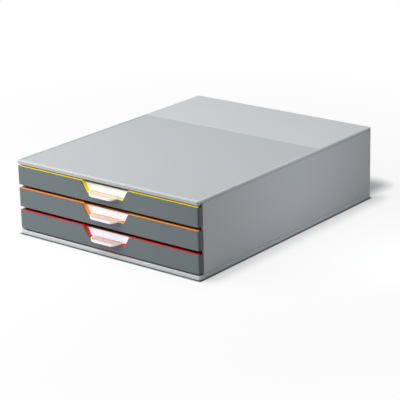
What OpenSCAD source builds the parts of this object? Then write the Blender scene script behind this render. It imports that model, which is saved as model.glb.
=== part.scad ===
// Desktop file drawer: a low plastic housing with three slide-out trays.
// X runs to the right, the drawer fronts face -Y, Z runs up. The origin is on the
// desk, under the middle of the whole object. All sizes are in millimetres.

/* [Housing] */
// Width of the housing
housing_w = 280; // [250:1:330]
// Depth of the housing from the front edge to the back
housing_d = 356; // [330:1:400]
// Thickness of the top panel at its rim
top_t = 2.8; // [2.4:0.1:4]
// Height of the base panel's rim above its underside
base_h = 4.9; // [4.6:0.1:8]
// Thickness of the base panel's floor
base_floor_t = 2.5; // [2.2:0.1:3.5]
// Thickness of the side panels and the rear panel
panel_t = 2.5; // [2:0.1:3.5]
// How far the side panels stand back behind the front edge
panel_setback = 8; // [6:0.5:12]
// Radius of the housing's upright corners
corner_r = 3; // [2:0.5:6]
// Rounding of the top panel's upper edge and the base panel's rim
edge_r = 1.2; // [0.6:0.1:1.8]

// Height of the top panel's front lip below its underside
top_lip_h = 1.8; // [1:0.1:2.4]
// Thickness of the top panel's front lip
top_lip_t = 4; // [2.5:0.5:6]
// Height of the shadow line where a side panel meets the top and the base
seam_h = 0.5; // [0.3:0.1:0.8]
// Depth of that shadow line
seam_d = 0.8; // [0.3:0.1:0.8]

/* [Top and base fields] */
// Depth of the shallow field in the top panel
field_depth = 0.3; // [0.2:0.1:1.2]
// Distance from the front edge to the step at the back of the field
field_d = 240.5; // [180:0.5:280]
// Width of the raised rim at the front and sides of the field
field_rim = 3.5; // [2.5:0.5:10]
// Corner radius of the fields in the top, rear and base panels
field_r = 2; // [1:0.5:5]
// Thickness of the raised rim at the front of the base panel
base_lip_t = 1.5; // [1.5:0.5:5]
// Width of the plain rim round the base panel's ribbed underside
base_rim_w = 9; // [6:1:16]
// Depth of the pockets between the ribs of the underside
base_pocket_depth = 0.9; // [0.5:0.1:1.2]
// Thickness of the ribs of the underside
base_rib_t = 1.6; // [1:0.1:3]
// Number of ribs from front to back
base_ribs_long = 4; // [2:1:8]
// Number of ribs from side to side
base_ribs_cross = 5; // [2:1:8]
// Depth of the field in the rear panel
rear_field_depth = 0.6; // [0.3:0.1:1]
// Width of the border round the rear panel's field
rear_field_border = 12; // [8:1:20]

/* [Panel joints] */
// Thickness of the tongues that hold the side panels upright
tongue_t = 1.5; // [1:0.1:2]
// Height of a tongue beside the side panel
tongue_h = 2.5; // [1.5:0.1:3]
// Clearance between a tongue and the panel it holds
tongue_fit = 0.2; // [0.1:0.05:0.4]
// Distance from the side panel's front edge to the start of a tongue
tongue_start = 7; // [5:1:20]
// Depth of the upright ribs that hold the rear panel
groove_rib_w = 2; // [1.5:0.1:3]

/* [Feet] */
// Diameter of a rubber foot
foot_d = 14; // [10:1:20]
// Height of a foot that shows below the base
foot_out = 1; // [0.6:0.1:2]
// Height of a foot that sits in its pocket
foot_in = 1.2; // [0.8:0.1:1.3]
// Clearance between a foot and the wall of its pocket
foot_fit = 0.2; // [0.1:0.05:0.4]
// Chamfer of a foot's lower edge
foot_edge = 0.5; // [0.2:0.1:0.6]
// Distance from the sides of the housing to a foot's centre
foot_inset = 24; // [18:1:50]
// Width of the solid pad round a foot's pocket
foot_pad = 5; // [3:0.5:8]

/* [Drawer stack] */
// Height of a drawer front
drawer_h = 23.2; // [23:0.1:40]
// Gap between two drawer fronts
drawer_gap = 4.9; // [4.2:0.1:8]
// Gap between the upper drawer front and the underside of the top panel
top_gap = 4.8; // [4.4:0.1:8]
// Gap between the lower drawer front and the base panel
bottom_gap = 2.1; // [1:0.1:5]
// How far a drawer slides out before its stop
drawer_travel = 290; // [200:5:290]

/* [Fascia] */
// Thickness of the fascia
fascia_t = 1.6; // [1.4:0.1:3]
// How far the ends of the fascia stand in from the housing's sides
fascia_inset = 0.5; // [0.3:0.1:1.5]
// Outer radius of the fascia's upright corners
fascia_r = 2.5; // [2:0.1:4]
// Gap between the fascia's side returns and the side panels
fascia_stop_gap = 0.3; // [0.2:0.1:1]
// Width of a snap hook on the back of the fascia
hook_w = 10; // [6:1:16]
// Thickness of a snap hook
hook_t = 1.5; // [1.2:0.1:2]
// Height of the barb at the end of a snap hook
hook_barb = 1; // [0.6:0.1:1.5]
// Clearance round a snap hook in its slot
hook_fit = 0.25; // [0.15:0.05:0.5]
// Distance from the middle to an inner snap hook
hook_inner_x = 55; // [45:1:70]
// Distance from the middle to an outer snap hook
hook_outer_x = 112; // [90:1:116]
// Height of the snap hooks above the fascia's bottom edge
hook_z = 9; // [5:0.5:12]

/* [Grip notch] */
// Width of the notch at its open top
notch_top_w = 72; // [62:1:84]
// Width of the notch at its bottom
notch_bottom_w = 56; // [52:1:60]
// Depth of the notch
notch_depth = 13.2; // [12:0.1:15]
// Radius of the notch's two bottom corners
notch_r = 3; // [1.5:0.5:6]
// Radius of the two shoulders where the notch meets the top edge
shoulder_r = 3; // [2:0.5:6]

/* [Tray] */
// Thickness of the tray's floor and walls
tray_t = 1.8; // [1.4:0.1:2.4]
// Gap between a tray's side and the side panel, which holds the runners
side_gap = 4; // [3.5:0.1:6]
// Gap behind the tray
tray_back_gap = 4.5; // [4:0.1:10]
// Height of the tray's underside above the fascia's bottom edge
tray_lift = 0.8; // [0.5:0.1:2]
// How far the tray's side walls stay below the top of the fascia
side_drop = 1.8; // [1:0.1:3]
// Depth from the face of the fascia to the tray's front wall
channel_d = 8; // [7.8:0.1:12]
// Thickness of the coloured lining between fascia and front wall
lining_t = 1.6; // [1.2:0.1:2]
// How far the lining's top edge stands up behind the fascia
edge_rise = 1.2; // [0.6:0.1:1.6]
// Depth of the lining's top edge
edge_depth = 2.6; // [2:0.1:5]
// Clearance at the ends of the lining
lining_fit = 0.5; // [0.3:0.1:1]
// Radius of the tray's upright corners, inside
tray_r = 6; // [4.5:0.5:12]
// Radius between the tray's floor and walls, inside
tray_floor_r = 3; // [1.5:0.5:4]
// Thickness of the runner flange along the tray's rim
flange_t = 1.6; // [1.2:0.1:2]
// How far the rim stands out behind the tray
rim_back = 1.5; // [1:0.1:2]
// Number of stiffening ribs under the tray's floor
tray_ribs = 4; // [2:1:7]
// Thickness of the ribs under the tray's floor
tray_rib_t = 1.2; // [0.8:0.1:2]

/* [Runners and stops] */
// Thickness of a runner rib on a side panel
runner_t = 2; // [1.5:0.1:2.4]
// Clearance between a runner rib and the tray's side
runner_fit = 0.6; // [0.4:0.1:1]
// Clearance between the tray's rim and the side panel
rim_fit = 0.8; // [0.5:0.1:1.2]
// Clearance below and above the tray's flange
slide_fit = 0.3; // [0.2:0.05:0.4]
// Distance from the side panel's front edge to the start of a runner
runner_start = 4; // [3.2:0.1:8]
// Distance from the side panel's front edge to the stop rib
stop_start = 8; // [6:0.5:15]
// Thickness of the stop rib
stop_t = 3; // [2:0.1:5]
// Height of the stop lug above the fascia's bottom edge
lug_z = 8; // [6:0.5:10]
// Height of the stop lug
lug_h = 5; // [3:0.5:6]
// Length of the stop lug with its lead-in slope
lug_l = 9; // [6:0.5:16]
// How far the stop lug stands out from the tray's side
lug_w = 2.8; // [2.2:0.1:3]
// Gap between lug and stop rib when the drawer is out
stop_fit = 0.3; // [0.2:0.05:1]

/* [Label holder] */
// How far the grip lip reaches in front of the fascia
grip_reach = 8.5; // [6:0.5:12]
// Width of the grip lip at the window
grip_w = 46; // [36:1:48]
// Width of the straight part of the grip lip's front edge
grip_flat = 26; // [16:1:32]
// Thickness of the grip lip
grip_t = 1.2; // [1:0.1:2]
// Thickness of the lip's turned-down rim
grip_rim_t = 1.4; // [1:0.1:2]
// Height of the lip's turned-down rim, with the lip
grip_rim_h = 2.6; // [2:0.1:3]
// Depth from the top of the drawer to the top of the lip
grip_drop = 10; // [9:0.1:10.4]
// Slope of the lip, in degrees
grip_slope = 4; // [0:0.5:6]
// Thickness of the clear window in front of the label
window_t = 1.2; // [1:0.1:1.4]
// Lean of the window, in degrees
window_lean = 8; // [4:0.5:9]
// How far the window's top edge stays below the top of the drawer
window_drop = 1.6; // [0.5:0.1:2.5]
// Clearance between the label holder and the notch lining
window_fit = 0.25; // [0.15:0.05:0.5]
// Thickness of the ledge that the label stands on
ledge_t = 1; // [0.8:0.1:1.2]
// Thickness of the label card
card_t = 0.4; // [0.3:0.05:0.6]
// How far the card's top edge stays below the window's top edge
card_drop = 1.4; // [0.3:0.1:2]
// Clearance between the label card and what holds it
card_fit = 0.15; // [0.1:0.05:0.2]
// Width of a snap tab below the label
tab_w = 6; // [4:0.5:8]
// Height of the barb at the end of a snap tab
tab_barb = 0.5; // [0.3:0.1:0.8]
// Distance from the middle to a snap tab
tab_x = 16; // [10:0.5:19]

/* [Hidden] */

// Steps in a quarter turn of a rounded corner and of the grip lip, and sides of a full circle
corner_steps = 6;
lip_steps = 14;
round_fn = 32;
// A cut runs past the faces that it opens by this much
past = 1;

// Drawer places, counted from the bottom
lower = 0;
middle = 1;
upper = 2;
drawer_count = 3;
tray_colours = ["#d8251f", "#ff8d1d", "#f9d500"];
housing_colour = "#c4c8cb";
fascia_colour = "#6f7879";
clear_colour = "#e9eef0";
card_colour = "#f6f6f4";
foot_colour = "#2b2c2e";

// Heights of the housing
base_z = foot_out;
floor_z = base_z + base_floor_t;
rim_z = base_z + base_h;
drawer_pitch = drawer_h + drawer_gap;
stack_h = drawer_count * drawer_h + (drawer_count - 1) * drawer_gap;
top_z = rim_z + bottom_gap + stack_h + top_gap;

// Depths of the housing
front_y = -(housing_d + grip_reach) / 2 + grip_reach;
back_y = front_y + housing_d;
mid_y = (front_y + back_y) / 2;
panel_y = front_y + panel_setback;
rear_y = back_y - panel_t;
side_x = housing_w / 2 - panel_t;

// Tray and channel
tray_x = side_x - side_gap;
wall_y = front_y + channel_d;
tray_front_y = wall_y + tray_t;
tray_back_y = rear_y - tray_back_gap;
side_h = drawer_h - side_drop;
fascia_x = housing_w / 2 - fascia_inset;
lining_x = min(fascia_x - fascia_t, side_x) - lining_fit;
runner_w = side_gap - runner_fit;
groove_y = rear_y - tongue_fit - tongue_t;

// Stop lug: its front face meets the stop rib at the end of the travel
stop_y = panel_y + stop_start;
lug_y = stop_y + stop_t + drawer_travel + stop_fit;
stop_z = lug_z - 2;

// Notch: its slanted sides and the outward shift of a side that is grown by one
notch_z = drawer_h - notch_depth;
notch_slope = (notch_top_w - notch_bottom_w) / 2 / notch_depth;
notch_shift = norm([1, notch_slope]);

// Label holder: the card's back leans from the tray's wall at the top to card_foot_y below
window_z = notch_z + window_fit;
window_top_z = drawer_h - window_drop;
card_top_z = window_top_z - card_drop;
card_z = window_z + ledge_t + card_fit;
card_foot_y = wall_y - card_fit - (window_top_z - window_z) * tan(window_lean);
window_y = card_foot_y - card_t - card_fit - window_t;
grip_z = drawer_h - grip_drop;

// ---- outlines ----

// One point at a distance of 1 from the origin, in the direction of v
function unit(v) = v / norm(v);

// Points of an arc about c, from angle a through the turn t
function arc(c, r, a, t) =
    [for (k = [0:corner_steps]) c + r * [cos(a + t * k / corner_steps), sin(a + t * k / corner_steps)]];

// The shorter turn from angle a to angle b
function turn(a, b) = let (t = b - a) t > 180 ? t - 360 : t < -180 ? t + 360 : t;

// Points that round the corner p between its neighbours a and b
function corner(a, p, b, r) = r <= 0 ? [p] :
    let (u = unit(a - p), v = unit(b - p), half = acos(u * v) / 2)
    let (c = p + unit(u + v) * r / sin(half), s = p + u * r / tan(half) - c, e = p + v * r / tan(half) - c)
    let (from = atan2(s.y, s.x))
    arc(c, r, from, turn(from, atan2(e.y, e.x)));

// Outline through the points p with one radius for each corner
function rounded(p, r) = let (n = len(p))
    [for (k = [0:n - 1]) each corner(p[(k + n - 1) % n], p[k], p[(k + 1) % n], r[k])];

// Rectangle from a to b with four equal corners
function box_outline(a, b, r) = rounded([a, [b.x, a.y], b, [a.x, b.y]], [r, r, r, r]);

// Half the notch's width at the height z, for a notch that is grown by g
function notch_half(z, g) = notch_bottom_w / 2 + (z - notch_z) * notch_slope + g * notch_shift;

// Front view of a drawer front, x to each side, from z0 to z1, with the notch grown by g
function front_outline(x, z0, z1, g) =
    let (top = notch_half(z1, g), bottom = notch_half(notch_z - g, g), s = shoulder_r - g, r = notch_r + g)
    rounded(
        [[-x, z0], [x, z0], [x, z1], [top, z1], [bottom, notch_z - g],
         [-bottom, notch_z - g], [-top, z1], [-x, z1]],
        [0, 0, 0, s, r, r, s, 0]);

// Front view of what fills the notch between the heights z0 and z1, with the gap g all round
function fill_outline(z0, z1, g) =
    let (top = notch_half(z1, -g), bottom = notch_half(z0, -g), r = notch_r - g)
    rounded([[bottom, z0], [top, z1], [-top, z1], [-bottom, z0]], [r, 0, 0, r]);

// Half the plan of the grip lip, drawn in by g: a quarter of an ellipse from the window at
// y = root to the end of the straight front edge
function lip_side(g, root) =
    let (flat = grip_flat / 2, x = grip_w / 2 - g, y = front_y - grip_reach + g)
    [for (k = [0:lip_steps])
        let (t = 90 * k / lip_steps)
        [flat + (x - flat) * cos(t), root - (root - y) * sin(t)]];

// Plan of the whole grip lip
function lip_outline(g, root) =
    let (half = lip_side(g, root))
    concat(half, [for (k = [lip_steps:-1:0]) [-half[k].x, half[k].y]]);

// Front view of the lip with its rim, which is deepest along the straight front edge
function rim_outline() =
    let (half = grip_w / 2, flat = grip_flat / 2, deep = grip_t - grip_rim_h)
    [[half, 0], [half, grip_t], [-half, grip_t], [-half, 0], [-flat, deep], [flat, deep]];

// ---- shapes that repeat ----

// Stands an outline of x and z upright, from y0 back to y1
module upright(y0, y1) {
    translate([0, y1, 0])
        rotate([90, 0, 0])
            linear_extrude(y1 - y0)
                children();
}

// Runs an outline of y and z sideways, from x0 to x1
module sideways(x0, x1) {
    translate([x0, 0, 0])
        rotate([90, 0, 90])
            linear_extrude(x1 - x0)
                children();
}

// Block from a to b with upright corners of radius r and rounded lower and upper edges
module soft_block(a, b, r, low, high) {
    h = b.z - a.z;
    profile = concat(
        [[0, 0]],
        low > 0 ? arc([r - low, low], low, -90, 90) : [[r, 0]],
        high > 0 ? arc([r - high, h - high], high, 0, 90) : [[r, h]],
        [[0, h]]);
    hull() {
        for (x = [a.x + r, b.x - r])
            for (y = [a.y + r, b.y - r])
                translate([x, y, a.z])
                    rotate_extrude($fn = round_fn)
                        polygon(profile);
    }
}

// Outline of the whole housing as seen from above
module footprint() {
    polygon(box_outline([-housing_w / 2, front_y], [housing_w / 2, back_y], corner_r));
}

// Bottom of a drawer front above the desk
function drawer_z(place) = rim_z + bottom_gap + place * drawer_pitch;

// Places of the feet: one at each corner of the base
function foot_spot(side, end) =
    [side * (housing_w / 2 - foot_inset), mid_y + end * (housing_d / 2 - foot_inset)];

// ---- housing ----

// Tongues that stand beside the side panels, from z0 to z1
module side_tongues(z0, z1) {
    for (side = [-1, 1]) {
        x = side * (side_x - tongue_fit - tongue_t / 2);
        translate([x - tongue_t / 2, panel_y + tongue_start, z0])
            cube([tongue_t, groove_y - tongue_fit - panel_y - tongue_start, z1 - z0]);
    }
}

// Top panel: a flat lid with a shallow field that ends at a step near the back
module top_panel() {
    field_z = top_z + top_t - field_depth;
    field_x = housing_w / 2 - field_rim;
    color(housing_colour) {
        difference() {
            soft_block([-housing_w / 2, front_y, top_z], [housing_w / 2, back_y, top_z + top_t],
                corner_r, 0, edge_r);
            translate([0, 0, field_z])
                linear_extrude(field_depth + past)
                    polygon(box_outline([-field_x, front_y + field_rim],
                        [field_x, front_y + field_d], field_r));
        }
        translate([0, 0, top_z - top_lip_h])
            linear_extrude(top_lip_h)
                intersection() {
                    footprint();
                    translate([-housing_w / 2, front_y])
                        square([housing_w, top_lip_t]);
                }
        side_tongues(top_z - tongue_h, top_z);
    }
}

// Ribs that cross the underside of the base panel, as seen from above
module base_rib_pattern() {
    for (k = [1:base_ribs_long])
        translate([-housing_w / 2 + k * housing_w / (base_ribs_long + 1), mid_y])
            square([base_rib_t, housing_d], center = true);
    for (k = [1:base_ribs_cross])
        translate([0, front_y + k * housing_d / (base_ribs_cross + 1)])
            square([housing_w, base_rib_t], center = true);
}

// Base panel: a floor inside a raised rim, with ribs and foot pockets underneath
module base_panel() {
    seat = panel_t + side_gap;
    color(housing_colour) {
        difference() {
            soft_block([-housing_w / 2, front_y, base_z], [housing_w / 2, back_y, rim_z],
                corner_r, 0, edge_r);
            translate([0, 0, floor_z])
                linear_extrude(base_h)
                    polygon(box_outline([-housing_w / 2 + seat, front_y + base_lip_t],
                        [housing_w / 2 - seat, back_y - seat], field_r));
            translate([0, 0, base_z - past])
                linear_extrude(base_pocket_depth + past)
                    difference() {
                        polygon(box_outline([-housing_w / 2 + base_rim_w, front_y + base_rim_w],
                            [housing_w / 2 - base_rim_w, back_y - base_rim_w], field_r));
                        base_rib_pattern();
                        for (side = [-1, 1])
                            for (end = [-1, 1])
                                translate(foot_spot(side, end))
                                    circle(d = foot_d + 2 * foot_pad, $fn = round_fn);
                    }
            for (side = [-1, 1])
                for (end = [-1, 1])
                    translate([each foot_spot(side, end), base_z - past])
                        cylinder(d = foot_d + 2 * foot_fit, h = foot_in + past, $fn = round_fn);
        }
        side_tongues(rim_z, rim_z + tongue_h);
    }
}

// Runners for one drawer: a rib below the tray's flange, a rib above it, and the stop rib
module runners(place) {
    z = drawer_z(place);
    under_z = z + side_h - flange_t - slide_fit - runner_t;
    x = side_x - runner_w;
    for (rib_z = [under_z, z + side_h + slide_fit])
        translate([x, panel_y + runner_start, rib_z])
            cube([runner_w, groove_y - panel_y - runner_start, runner_t]);
    translate([x, stop_y, z + stop_z])
        cube([runner_w, stop_t, under_z - z - stop_z]);
}

// Plan of the right side panel's wall, with its outer face drawn in by g
module side_plan(g) {
    intersection() {
        footprint();
        polygon(rounded(
            [[side_x, panel_y], [housing_w / 2 - g, panel_y], [housing_w / 2 - g, back_y], [side_x, back_y]],
            [0, panel_t / 4, 0, 0]));
    }
}

// Side panel on the right: a smooth outer wall with the runners inside
module side_panel() {
    color(housing_colour) {
        translate([0, 0, rim_z])
            linear_extrude(top_z - rim_z)
                side_plan(seam_d);
        translate([0, 0, rim_z + seam_h])
            linear_extrude(top_z - rim_z - 2 * seam_h)
                side_plan(0);
        for (place = [lower, middle, upper])
            runners(place);
        translate([side_x - groove_rib_w, groove_y, rim_z + tongue_h + tongue_fit])
            cube([groove_rib_w, tongue_t, top_z - rim_z - 2 * (tongue_h + tongue_fit)]);
    }
}

// Rear panel: slides down between the side panels, with a shallow field outside
module rear_panel() {
    x = side_x - tongue_fit;
    field_x = x - rear_field_border;
    color(housing_colour)
        difference() {
            upright(rear_y, back_y)
                polygon(box_outline([-x, rim_z], [x, top_z], 0));
            upright(back_y - rear_field_depth, back_y + past)
                polygon(box_outline([-field_x, rim_z + rear_field_border],
                    [field_x, top_z - rear_field_border], field_r));
        }
}

// Rubber foot at one corner, pressed into its pocket
module foot(side, end) {
    h = foot_out + foot_in;
    r = foot_d / 2;
    color(foot_colour)
        translate([each foot_spot(side, end), 0])
            rotate_extrude($fn = round_fn)
                polygon([[0, 0], [r - foot_edge, 0], [r, foot_edge], [r, h], [0, h]]);
}

// ---- drawers ----

// Tongue that starts at y, t thick above z, and catches behind the tray's front wall with a barb
module snap_tongue(w, y, z, t, barb, fit) {
    catch_y = tray_front_y + fit;
    end_y = catch_y + 2 * barb;
    sideways(-w / 2, w / 2)
        polygon([[y, z], [end_y, z], [end_y, z + t / 2],
            [catch_y, z + t + barb], [catch_y, z + t], [y, z + t]]);
}

// Places of the fascia's four snap hooks
function hook_places() = [-hook_outer_x, -hook_inner_x, hook_inner_x, hook_outer_x];

// Fascia: the grey front, with side returns, the notch and snap hooks behind it
module fascia(place) {
    back = panel_y - fascia_stop_gap;
    inner_r = fascia_r - fascia_t;
    color(fascia_colour)
        translate([0, 0, drawer_z(place)]) {
            intersection() {
                linear_extrude(drawer_h)
                    polygon(rounded(
                        [[-fascia_x, back], [-fascia_x, front_y], [fascia_x, front_y], [fascia_x, back],
                         [fascia_x - fascia_t, back], [fascia_x - fascia_t, front_y + fascia_t],
                         [-fascia_x + fascia_t, front_y + fascia_t], [-fascia_x + fascia_t, back]],
                        [0, fascia_r, fascia_r, 0, 0, inner_r, inner_r, 0]));
                upright(front_y - past, back + past)
                    polygon(front_outline(fascia_x + past, 0, drawer_h, 0));
            }
            for (x = hook_places())
                translate([x, 0, 0])
                    snap_tongue(hook_w, front_y + fascia_t, hook_z, hook_t, hook_barb, hook_fit);
        }
}

// Slots in the tray's front wall for the fascia's hooks and the label holder's tabs
module wall_slots() {
    slot_h = hook_t + hook_barb + 2 * hook_fit;
    for (x = hook_places())
        translate([x - hook_w / 2 - hook_fit, wall_y - past, hook_z - hook_fit])
            cube([hook_w + 2 * hook_fit, tray_t + 2 * past, slot_h]);
    for (side = [-1, 1])
        translate([side * tab_x - tab_w / 2 - window_fit, wall_y - past, window_z - window_fit])
            cube([tab_w + 2 * window_fit, tray_t + 2 * past, ledge_t + tab_barb + 2 * window_fit]);
}

// Stop lug on the right side of a tray, square in front and sloped behind
module stop_lug() {
    root_x = tray_x - tray_t / 2;
    translate([0, 0, lug_z])
        linear_extrude(lug_h)
            polygon([[root_x, lug_y], [tray_x + lug_w, lug_y], [tray_x + lug_w, lug_y + lug_l / 3],
                [tray_x, lug_y + lug_l], [root_x, lug_y + lug_l]]);
}

// Front view of the coloured lining up to the height top, open in the middle
module lining_ring(top) {
    difference() {
        polygon(front_outline(lining_x, tray_lift, top, 0));
        polygon(front_outline(lining_x - lining_t, tray_lift + lining_t, top - lining_t, lining_t));
    }
}

// Lining between the fascia and the tray's front wall: its top edge stands up behind the
// fascia, and the rest ends at the height of the wall
module lining() {
    top = drawer_h + edge_rise;
    face_y = front_y + fascia_t;
    upright(face_y, face_y + edge_depth)
        lining_ring(top);
    upright(face_y, wall_y)
        intersection() {
            lining_ring(top);
            translate([-lining_x, 0])
                square([2 * lining_x, side_h]);
        }
}

// Tray: the coloured drawer body, whose lining shows behind the fascia
module tray(place) {
    inner_x = tray_x - tray_t;
    rim_x = side_x - rim_fit;
    outer_r = tray_r + tray_t;
    rib_l = tray_back_y - tray_front_y - 2 * outer_r;
    color(tray_colours[place])
        translate([0, 0, drawer_z(place)]) {
            difference() {
                union() {
                    soft_block([-tray_x, wall_y, tray_lift], [tray_x, tray_back_y, side_h],
                        outer_r, tray_floor_r, 0);
                    upright(wall_y, tray_front_y)
                        polygon(box_outline([-lining_x, tray_lift], [lining_x, side_h], 0));
                    translate([0, 0, side_h - flange_t])
                        linear_extrude(flange_t)
                            polygon(box_outline([-rim_x, wall_y], [rim_x, tray_back_y + rim_back], 0));
                    lining();
                }
                soft_block([-inner_x, tray_front_y, tray_lift + tray_t],
                    [inner_x, tray_back_y - tray_t, side_h + past], tray_r, tray_floor_r, 0);
                wall_slots();
            }
            for (k = [1:tray_ribs]) {
                x = (2 * k / (tray_ribs + 1) - 1) * tray_x;
                translate([x - tray_rib_t / 2, tray_front_y + outer_r, 0])
                    cube([tray_rib_t, rib_l, tray_lift]);
            }
            stop_lug();
            mirror([1, 0, 0])
                stop_lug();
        }
}

// Leans a piece back about the foot of the card, which is drawn upright
module leaning() {
    translate([0, card_foot_y, window_z])
        rotate([-window_lean, 0, 0])
            translate([0, -card_foot_y, -window_z])
                children();
}

// Label holder: a clear window that fills the notch, with the grip lip in front
module label_holder(place) {
    root_y = window_y + window_t;
    color(clear_colour, 0.5)
        translate([0, 0, drawer_z(place)]) {
            intersection() {
                upright(front_y, wall_y)
                    polygon(fill_outline(window_z, window_top_z, window_fit));
                union() {
                    leaning()
                        translate([-notch_top_w / 2, window_y, window_z - past])
                            cube([notch_top_w, window_t, notch_depth + 2 * past]);
                    translate([-notch_top_w / 2, window_y, window_z])
                        cube([notch_top_w, wall_y - window_fit - window_y, ledge_t]);
                }
            }
            for (side = [-1, 1])
                translate([side * tab_x, 0, 0])
                    snap_tongue(tab_w, wall_y - 2 * window_fit, window_z, ledge_t, tab_barb, window_fit);
            translate([0, window_y, grip_z])
                rotate([grip_slope, 0, 0])
                    translate([0, -window_y, -grip_t]) {
                        linear_extrude(grip_t)
                            polygon(lip_outline(0, root_y));
                        intersection() {
                            translate([0, 0, grip_t - grip_rim_h])
                                linear_extrude(grip_rim_h)
                                    difference() {
                                        polygon(lip_outline(0, root_y));
                                        polygon(lip_outline(grip_rim_t, root_y));
                                        translate([-grip_w / 2, front_y])
                                            square([grip_w, root_y - front_y + past]);
                                    }
                            upright(front_y - grip_reach - past, root_y)
                                polygon(rim_outline());
                        }
                    }
        }
}

// Label card: a plain white insert behind the window
module label_card(place) {
    color(card_colour)
        translate([0, 0, drawer_z(place)])
            intersection() {
                upright(front_y, wall_y)
                    polygon(fill_outline(card_z, card_top_z, window_fit + card_fit));
                leaning()
                    translate([-notch_top_w / 2, card_foot_y - card_t, window_z - past])
                        cube([notch_top_w, card_t, notch_depth + 2 * past]);
            }
}

// ---- the object ----

top_panel();
base_panel();
mirror([1, 0, 0]) side_panel();  // left_side_panel
side_panel();  // right_side_panel
rear_panel();
foot(-1, -1);  // front_left_foot
foot(1, -1);  // front_right_foot
foot(-1, 1);  // rear_left_foot
foot(1, 1);  // rear_right_foot
tray(upper);  // upper_tray
fascia(upper);  // upper_fascia
label_holder(upper);  // upper_label_holder
label_card(upper);  // upper_label_card
tray(middle);  // middle_tray
fascia(middle);  // middle_fascia
label_holder(middle);  // middle_label_holder
label_card(middle);  // middle_label_card
tray(lower);  // lower_tray
fascia(lower);  // lower_fascia
label_holder(lower);  // lower_label_holder
label_card(lower);  // lower_label_card
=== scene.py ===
import math

import bpy
from mathutils import Matrix, Vector


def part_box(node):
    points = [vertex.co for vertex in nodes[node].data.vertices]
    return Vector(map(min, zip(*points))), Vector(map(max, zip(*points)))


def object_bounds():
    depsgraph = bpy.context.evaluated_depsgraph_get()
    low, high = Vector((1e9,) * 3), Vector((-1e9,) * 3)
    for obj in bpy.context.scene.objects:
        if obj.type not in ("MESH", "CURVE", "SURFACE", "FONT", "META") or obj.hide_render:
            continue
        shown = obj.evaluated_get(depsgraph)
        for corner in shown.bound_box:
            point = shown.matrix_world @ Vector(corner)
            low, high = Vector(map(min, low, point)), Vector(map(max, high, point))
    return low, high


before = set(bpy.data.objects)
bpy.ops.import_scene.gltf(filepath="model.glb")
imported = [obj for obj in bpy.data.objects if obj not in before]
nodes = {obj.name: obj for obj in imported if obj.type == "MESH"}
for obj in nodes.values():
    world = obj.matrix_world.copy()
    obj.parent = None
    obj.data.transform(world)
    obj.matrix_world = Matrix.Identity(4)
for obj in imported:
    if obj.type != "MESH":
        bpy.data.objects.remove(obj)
cad_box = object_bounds()
scene = bpy.context.scene
scene.view_settings.view_transform = "Standard"

# ---- Camera ----
# The photograph is taken from the front right, a little above the box, with a long lens
# that stands about two metres away. The picture is 400 pixels wide.
picture_px = 400
focal_px = 1618.9
distance = 1.948
azimuth = math.radians(38.64)
elevation = math.radians(18.83)
roll = math.radians(-1.39)
aim = Vector((0.0503, -0.0582, 0.0475))

back = Vector((math.sin(azimuth) * math.cos(elevation), -math.cos(azimuth) * math.cos(elevation),
               math.sin(elevation)))
sideways = Vector((math.cos(azimuth), math.sin(azimuth), 0))
upward = back.cross(sideways)
right = math.cos(roll) * sideways + math.sin(roll) * upward
above = math.cos(roll) * upward - math.sin(roll) * sideways
facing = Matrix((right, above, back)).transposed().to_4x4()
lens = bpy.data.cameras.new("camera")
lens.sensor_width = 36
lens.lens = lens.sensor_width * focal_px / picture_px
lens.clip_end = 40
camera = bpy.data.objects.new("camera", lens)
camera.matrix_world = Matrix.Translation(aim + back * distance) @ facing
scene.collection.objects.link(camera)
scene.camera = camera

# ---- Floor and studio light ----
# A white sweep of paper lies under and behind the box. Soft lamps hang at the upper left front,
# high in front and overhead, and a small one low on the right fills the middle of that side.


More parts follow.
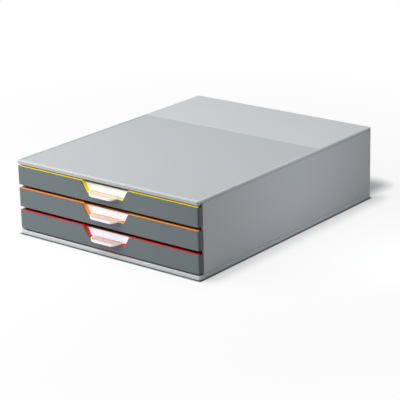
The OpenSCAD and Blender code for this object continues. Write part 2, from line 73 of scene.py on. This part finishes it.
class Wire:
    """An output socket of a node tree. Sums and products of wires and numbers add Math nodes."""

    def __init__(self, tree, socket=None):
        self.tree = tree
        self.socket = socket

    def node(self, kind, settings, feeds, output=0):
        """Adds a node, sets its settings, feeds its sockets with wires or values and returns one output."""
        made = self.tree.nodes.new("ShaderNode" + kind)
        for name, value in settings.items():
            setattr(made, name, value)
        for name, value in feeds.items():
            if isinstance(value, Wire):
                self.tree.links.new(value.socket, made.inputs[name])
            else:
                made.inputs[name].default_value = value
        return Wire(self.tree, made.outputs[output]) if made.outputs else None

    def maths(self, operation, *values):
        """The result of a Math node on wires or numbers."""
        return self.node("Math", {"operation": operation}, dict(enumerate(values)))

    def __add__(self, other):
        return self.maths("ADD", self, other)

    def __sub__(self, other):
        return self.maths("SUBTRACT", self, other)

    def __rsub__(self, other):
        return self.maths("SUBTRACT", other, self)

    def __mul__(self, other):
        return self.maths("MULTIPLY", self, other)

    def __truediv__(self, other):
        return self.maths("DIVIDE", self, other)

    def __mod__(self, other):
        return self.maths("MODULO", self, other)

    def __abs__(self):
        return self.maths("ABSOLUTE", self)

    __radd__ = __add__
    __rmul__ = __mul__

    def at_least(self, other):
        """The larger of this wire and the other."""
        return self.maths("MAXIMUM", self, other)

    def at_most(self, other):
        """The smaller of this wire and the other."""
        return self.maths("MINIMUM", self, other)

    def beyond(self, limit):
        """How far this wire is above the limit, or 0 below it."""
        return (self - limit).at_least(0.0)

    def hypotenuse(self, other):
        """The length of a line that goes this far one way and the other wire's length across."""
        return self.maths("SQRT", self * self + other * other)

    def ramp(self, low, high):
        """A soft step from 0 at low to 1 at high, which may lie either way round."""
        return self.node("MapRange", {"interpolation_type": "SMOOTHSTEP"},
                         {"Value": self, "From Min": low, "From Max": high})

    def blend(self, low, high):
        """Colour that runs from low to high as this wire runs from 0 to 1."""
        factor, first_colour, second_colour, mixed_colour = 0, 6, 7, 2
        feeds = {factor: self, first_colour: low, second_colour: high}
        return self.node("Mix", {"data_type": "RGBA"}, feeds, output=mixed_colour)

    def mix(self, low, high):
        """Shader that runs from low to high as this wire runs from 0 to 1."""
        return self.node("MixShader", {}, {0: self, 1: low, 2: high})

    def axes(self):
        """The three parts of a place."""
        parts = self.node("SeparateXYZ", {}, {"Vector": self})
        return [Wire(self.tree, output) for output in parts.socket.node.outputs]

    def sight(self):
        """1 for what is seen, also in a gloss or through a clear piece, and 0 for light on its way."""
        camera_ray, glossy_ray, transmission_ray = [
            self.node("LightPath", {}, {}, output=f"Is {kind} Ray")
            for kind in ("Camera", "Glossy", "Transmission")]
        return camera_ray.at_least(glossy_ray).at_least(transmission_ray)


def blank_material(name):
    """A new material with an empty node tree, the wire that starts it, and the place in metres."""
    made = bpy.data.materials.new(name)
    made.use_nodes = True
    made.node_tree.nodes.clear()
    shader = Wire(made.node_tree)
    return made, shader, shader.node("TexCoord", {}, {}, output="Object")


def shade(colour, depth=1.0):
    """A colour, or a deeper or lighter shade of it, with the alpha that a colour socket wants."""
    return tuple(depth * part for part in colour) + (1,)


mm = 0.001
base_low, base_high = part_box("base_panel")
half_width = base_high.x
front_y = base_low.y
rear_y = base_high.y

# Far from the box the paper shows as pure white, which paints out any shadow there. Closer by it turns
# into matt paper, which takes the real shadow of the box, and its colour is painted dark where the box
# stands, as painted shade. The strip in front of the box is painted white sooner, and the paper in the
# shadow behind it stays matt.
paper, shader, place = blank_material("paper_sweep")
x, y, z = place.axes()
beside = abs(x).beyond(half_width)
along = abs(y - (front_y + rear_y) / 2).beyond((rear_y - front_y) / 2)
away = beside.hypotenuse(along)
front_strip = y.ramp(front_y - 1 * mm, front_y - 3.7 * mm) * x.ramp(half_width + 60 * mm, half_width)
close_by = 0.44 * away.ramp(0.0, 3 * mm) + 0.42 * away.ramp(2 * mm, 30 * mm)
whitened = (close_by + 0.14 * away.ramp(60 * mm, 600 * mm)).at_least(0.82 * front_strip)
outside = abs(x).beyond(half_width - 30 * mm)
behind = y.beyond(rear_y + 43 * mm)
past_shadow = outside.hypotenuse(behind).ramp(4 * mm, 46 * mm)
not_behind = y.ramp(rear_y + 8 * mm, rear_y - 12 * mm)
whitened = whitened.at_most(past_shadow.at_least(not_behind))
outside_painted_shade = away.ramp(0.8 * mm, 3 * mm).at_least(front_strip)
matt = shader.node("BsdfPrincipled", {}, {
    "Base Color": outside_painted_shade.blend(shade((0.2, 0.2, 0.2)), shade((0.85, 0.85, 0.85))),
    "Roughness": 1.0,
    "Specular IOR Level": 0.0})
white = shader.node("Emission", {}, {"Strength": 1.0})
shader.node("OutputMaterial", {}, {"Surface": (whitened * shader.sight()).mix(matt, white)})

reach = 8.0
floor_mesh = bpy.data.meshes.new("floor")
floor_mesh.from_pydata([(-reach, -reach, 0), (reach, -reach, 0), (reach, reach, 0), (-reach, reach, 0)],
                       [], [(0, 1, 2, 3)])
floor_mesh.materials.append(paper)
floor = bpy.data.objects.new("floor", floor_mesh)
scene.collection.objects.link(floor)

room = bpy.data.worlds.new("room")
room.use_nodes = True
room.node_tree.nodes.clear()
sky = Wire(room.node_tree)
soft = sky.node("Background", {}, {"Color": (0.97, 0.985, 1, 1), "Strength": 0.1})
backdrop = sky.node("Background", {}, {"Color": (1, 1, 1, 1), "Strength": 1.0})
sky.node("OutputWorld", {}, {"Surface": sky.sight().mix(soft, backdrop)})
scene.world = room


def lamp(name, place, target, size, watts, colour=(1, 1, 1)):
    """A square soft lamp that points at the target."""
    light = bpy.data.lights.new(name, "AREA")
    light.size = size
    light.energy = watts
    light.color = colour
    made = bpy.data.objects.new(name, light)
    turned = (Vector(place) - Vector(target)).to_track_quat("Z", "Y").to_matrix().to_4x4()
    made.matrix_world = Matrix.Translation(place) @ turned
    scene.collection.objects.link(made)


box_middle = (0, 0, 0.05)
lamp("key_lamp", (-0.74, -0.62, 0.67), box_middle, size=1.0, watts=12.6)
lamp("high_lamp", (-0.14, -0.56, 1.05), box_middle, size=0.8, watts=4.2)
lamp("top_lamp", (0, 0, 1.2), box_middle, size=0.8, watts=3.8)
lamp("side_lamp", (0.34, 0.03, 0.1), (half_width, 0.03, 0.05), size=0.15, watts=0.18, colour=(0.9, 0.95, 1))

# ---- Base panel ----
# The base is one light grey polystyrene moulding with ribs below, and the other panels are
# snapped on to it. Its faces carry a fine spark-eroded grain, and its edges a small radius.
housing_grey = (0.565, 0.598, 0.608)
edge_radius = 0.35 * mm


def moulded(name, colour, grain_size, roughness, gloss=0.5, bite=0.35,
            polished=None, polished_colour=None, painted_glow=None, painted_shade=None):
    """Moulded plastic: a fine grain in the surface, a little mottling and an uneven sheen.

    Polished and the last two, a painted glow and a painted shade, are functions of the place. Where
    polished is 1, the grain is weak and the colour is the polished one, whose lighter grey is painted
    sheen.
    Where the glow is 1, a glow of the plastic's own colour is painted in as extra light. The nearer the
    shade is to 1, the darker the colour is painted, as shade."""
    made, shader, place = blank_material(name)
    cloud_size = 62.5 * mm
    grain = shader.node("TexNoise", {}, {
        "Vector": place, "Scale": 1 / grain_size, "Detail": 3.0, "Roughness": 0.6})
    cloud = shader.node("TexNoise", {}, {"Vector": place, "Scale": 1 / cloud_size, "Detail": 2.0})
    tone = (0.3 * cloud + 0.7 * grain).blend(shade(colour, 0.9), shade(colour, 1.1))
    if polished:
        smooth = polished(place)
        tone = smooth.blend(tone, shade(polished_colour))
        roughness = roughness - 0.12 * smooth
        bite = bite - 0.3 * smooth
    if painted_shade:
        tone = painted_shade(place).blend(tone, shade(colour, 0.4))
    bumpy = shader.node("Bump", {}, {"Height": grain * bite, "Strength": 1.0, "Distance": 0.03 * mm})
    black = (0, 0, 0, 1)
    surface = shader.node("BsdfPrincipled", {}, {
        "Base Color": tone,
        "Roughness": roughness + 0.12 * (cloud - 0.5),
        "Normal": bumpy,
        "Specular IOR Level": gloss,
        "Emission Color": painted_glow(place).blend(black, tone) if painted_glow else black,
        "Emission Strength": 0.5 if painted_glow else 0.0,
        "IOR": 1.5})
    shader.node("OutputMaterial", {}, {"Surface": surface})
    return made


def dress(name, material, radius=0.0, steps=2):
    """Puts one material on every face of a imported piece, and gives its sharp edges a real radius."""
    for slot in nodes[name].material_slots:
        slot.material = material
    if radius:
        weld = nodes[name].modifiers.new("join", "WELD")
        weld.merge_threshold = 0.001 * mm
        bevel = nodes[name].modifiers.new("edge_radius", "BEVEL")
        bevel.width = radius
        bevel.segments = steps
        bevel.limit_method = "ANGLE"
        bevel.angle_limit = math.radians(28)
        bevel.harden_normals = True


def base_side_shade(place):
    """Up to 0.42 on the upright sides of the base, where shade is painted in to match the side panels above
    them.
    """
    x, y, z = place.axes()
    return 0.42 * abs(x).ramp(half_width - 0.6 * mm, half_width - 0.2 * mm)


# The upright sides of the base get the same painted shade as the side panels.
base_plastic = moulded("base_plastic", housing_grey, 0.5 * mm, 0.5, painted_shade=base_side_shade)
dress("base_panel", base_plastic, edge_radius)

# ---- Feet ----
# Four black rubber discs, pressed into round pockets under the corners of the base. Rubber is
# dull, and it keeps the box from sliding when a drawer is pulled.
foot_black = (0.025, 0.025, 0.027)
foot_rubber = moulded("foot_rubber", foot_black, 0.3 * mm, 0.85)
for end in ("front", "rear"):
    for hand in ("left", "right"):
        dress(f"{end}_{hand}_foot", foot_rubber)

# ---- Side and rear panels ----
# The two sides and the back are polystyrene mouldings of their own, held between the base and the
# top by tongues. The sides lie in the shade of the studio, and their grey is painted deeper as that shade.
shaded_side_grey = (0.382, 0.397, 0.412)
shaded_side_plastic = moulded("shaded_side_plastic", shaded_side_grey, 1.0 * mm, 0.5)
for hand in ("left", "right"):
    dress(f"{hand}_side_panel", shaded_side_plastic, edge_radius)
rear_plastic = moulded("housing_plastic", housing_grey, 0.5 * mm, 0.5)
dress("rear_panel", rear_plastic, edge_radius)

# ---- Trays ----
# The trays are moulded in bright yellow, orange and red plastic with a satin surface. Of a closed
# one only the lining shows: a line above the fascia, and the walls and the sill of the notch.
tray_colours = {"upper": (1.0, 0.72, 0.0), "middle": (1.0, 0.29, 0.012), "lower": (0.64, 0.009, 0.008)}
seam_radius = 0.3 * mm
fascia_low, fascia_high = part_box("lower_fascia")
tray_low, tray_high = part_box("lower_tray")
drawer_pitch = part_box("middle_fascia")[0].z - fascia_low.z
fascia_top = fascia_high.z - fascia_low.z
line_top = tray_high.z - fascia_low.z
line_back = tray_low.y + 2.6 * mm
channel_back = front_y + 8 * mm
notch_top = 36 * mm
notch_bottom = 28 * mm
notch_sill = fascia_top - 13.2 * mm


def height_in_drawer(z):
    """Height above the lower edge of the drawer's own fascia."""
    return (z - fascia_low.z) % drawer_pitch


def lining_glow(place):
    """1 on the coloured line and less on the notch's walls and sill, thin places where a glow is painted in
    as extra light.
    """
    x, y, z = place.axes()
    beside = abs(x)
    height = height_in_drawer(z)
    in_channel = y.ramp(channel_back + 0.75 * mm, channel_back - 0.25 * mm)
    walls = (in_channel * beside.ramp(notch_bottom - 2.5 * mm, notch_bottom - 1.5 * mm)
             * beside.ramp(notch_top + 2.5 * mm, notch_top + 1.5 * mm))
    sill = (in_channel * beside.ramp(notch_bottom + 0.5 * mm, notch_bottom - 0.5 * mm)
            * height.ramp(notch_sill + 2.6 * mm, notch_sill + 2.2 * mm))
    line = (y.ramp(line_back + 0.55 * mm, line_back + 0.15 * mm)
            * height.ramp(fascia_top - 0.7 * mm, fascia_top - 0.4 * mm)
            * height.ramp(line_top - 0.1 * mm, line_top - 0.3 * mm))
    return (0.6 * walls).at_least(0.8 * sill).at_least(line)


def tray_shade(place):
    """Up to 1 behind a tray's front wall, on top of its coloured line and on top of the wall, where shade
    is painted in as the shade of its own walls.
    """
    x, y, z = place.axes()
    height = height_in_drawer(z)
    inside = y.ramp(channel_back + 0.75 * mm, channel_back + 1.65 * mm)
    wall_top = (height.ramp(fascia_top - 2.2 * mm, fascia_top - 2.0 * mm)
                * y.ramp(channel_back - 1.05 * mm, channel_back - 0.45 * mm)
                * y.ramp(channel_back + 5.75 * mm, channel_back + 3.25 * mm))
    top_of_line = height.ramp(line_top - 0.2 * mm, line_top - 0.1 * mm)
    return (0.6 * inside).at_least(top_of_line).at_least(wall_top)


# Each tray gets a painted glow on its thin lining and painted shade inside.
for level, colour in tray_colours.items():
    tray_plastic = moulded(f"{level}_tray_plastic", colour, 0.35 * mm, 0.4, gloss=0.35,
                           painted_glow=lining_glow, painted_shade=tray_shade)
    dress(f"{level}_tray", tray_plastic, seam_radius)

# ---- Fascias ----
# Each drawer front is a dark grey cover, snapped on to the tray, with rounded upright corners
# and the notch for the grip. It is moulded with the same fine grain as the housing.
fascia_grey = (0.131, 0.160, 0.168)


def end_return_shade(place):
    """1 on the returns at both ends of a fascia, where shade is painted in as the shade of the side panels.
    """
    x, y, z = place.axes()
    return abs(x).ramp(fascia_high.x - 1.2 * mm, fascia_high.x - 0.4 * mm)


fascia_plastic = moulded("fascia_plastic", fascia_grey, 1.0 * mm, 0.48, gloss=0.35, painted_shade=end_return_shade)
for level in tray_colours:
    dress(f"{level}_fascia", fascia_plastic, radius=0.6 * mm, steps=3)

# ---- Label cards ----
# A plain white card stands behind each window, cut from bright paper and slipped in from above.
# Its faces show a fine fibre, and a faint bluish glow is painted on them as extra light.
fibre_size = 0.556 * mm
label_card, shader, place = blank_material("label_card")
fibre = shader.node("TexNoise", {}, {"Vector": place, "Scale": 1 / fibre_size, "Detail": 4.0})
surface = shader.node("BsdfPrincipled", {}, {
    "Base Color": fibre.blend(shade((0.94, 0.94, 0.94)), shade((0.96, 0.96, 0.96))),
    "Emission Color": (0.62, 0.86, 1, 1),
    "Emission Strength": 0.37,
    "Roughness": 0.8})
shader.node("OutputMaterial", {}, {"Surface": surface})
for level in tray_colours:
    dress(f"{level}_label_card", label_card)

# ---- Label holders ----
# A clear moulding with a window in front of the label and a grip lip, clipped into the notch. The
# window is almost invisible; the lip is milky, with the tray's colour painted on it as coloured light, and
# its rim is painted brighter as a highlight.
lip_tray_light = {"upper": (0.95, 0.81, 0.66), "middle": (0.91, 0.76, 0.69), "lower": (0.86, 0.73, 0.74)}
edge_shade = {"upper": (0.20, 0.14, 0.06), "middle": (0.34, 0.15, 0.11), "lower": (0.13, 0.07, 0.07)}
milky_white = (0.97, 0.97, 0.97)
rim_highlight = (0.97, 0.97, 0.96)
holder_low, holder_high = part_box("lower_label_holder")
lip_depth = 13 * mm
lip_root = holder_low.y + lip_depth
lip_flat = 13 * mm
lip_curve = 10 * mm
window_top = holder_high.z - fascia_low.z

for level in tray_colours:
    clear_plastic, shader, place = blank_material(f"{level}_clear_plastic")
    x, y, z = place.axes()
    lip = y.ramp(lip_root - 0.2 * mm, lip_root - 0.6 * mm)
    sideward = abs(x).beyond(lip_flat) / lip_curve
    outward = (lip_root - y).beyond(0.0) / lip_depth
    rim = sideward.hypotenuse(outward).ramp(0.86, 0.90)
    root_line = lip * y.ramp(lip_root - 3.0 * mm, lip_root - 2.2 * mm)
    height = height_in_drawer(z)
    milky = (1 - lip) * height.ramp(window_top - 1.7 * mm, window_top - 1.5 * mm)
    # The top edge of the window is painted dark with the tray's colour, as shade.
    top_edge_shade = (1 - lip) * height.ramp(window_top - 0.5 * mm, window_top - 0.3 * mm)
    plate = root_line.blend(shade(lip_tray_light[level]), shade(lip_tray_light[level], 0.6))
    tone = milky.blend(rim.blend(plate, shade(rim_highlight)), shade(milky_white))
    surface = shader.node("BsdfPrincipled", {}, {
        "Base Color": top_edge_shade.blend(tone, shade(edge_shade[level])),
        "Roughness": 0.15,
        "Alpha": 0.05 + 0.88 * milky + lip * (0.55 + 0.35 * rim),
        "IOR": 1.5})
    shader.node("OutputMaterial", {}, {"Surface": surface})
    dress(f"{level}_label_holder", clear_plastic, seam_radius)

# ---- Top panel ----
# The lid is moulded like the base, and its tongues snap in between the other panels. Its shallow
# field is grained; the rim round it and the zone behind the step are polished, and their lighter grey is
# painted sheen.
field_grey = (0.42, 0.443, 0.452)
polished_sheen_grey = (0.515, 0.521, 0.533)
field_rim = 3.5 * mm
top_z = cad_box[1].z
field_side = half_width - field_rim
field_front = front_y + field_rim
field_rear = front_y + 240.5 * mm


def polished_zone(place):
    """1 on the rim of the top and behind its step, 0 in the grained field and on the upright faces."""
    x, y, z = place.axes()
    field = (abs(x).ramp(field_side + 0.6 * mm, field_side + 0.1 * mm)
             * y.ramp(field_front - 0.15 * mm, field_front + 0.35 * mm)
             * y.ramp(field_rear + 0.15 * mm, field_rear - 0.25 * mm))
    return 1 - field.at_least(z.ramp(top_z - 0.4 * mm, top_z - 0.7 * mm))


top_plastic = moulded("top_plastic", field_grey, 1.0 * mm, 0.5, bite=0.42,
                      polished=polished_zone, polished_colour=polished_sheen_grey)
dress("top_panel", top_plastic, edge_radius)
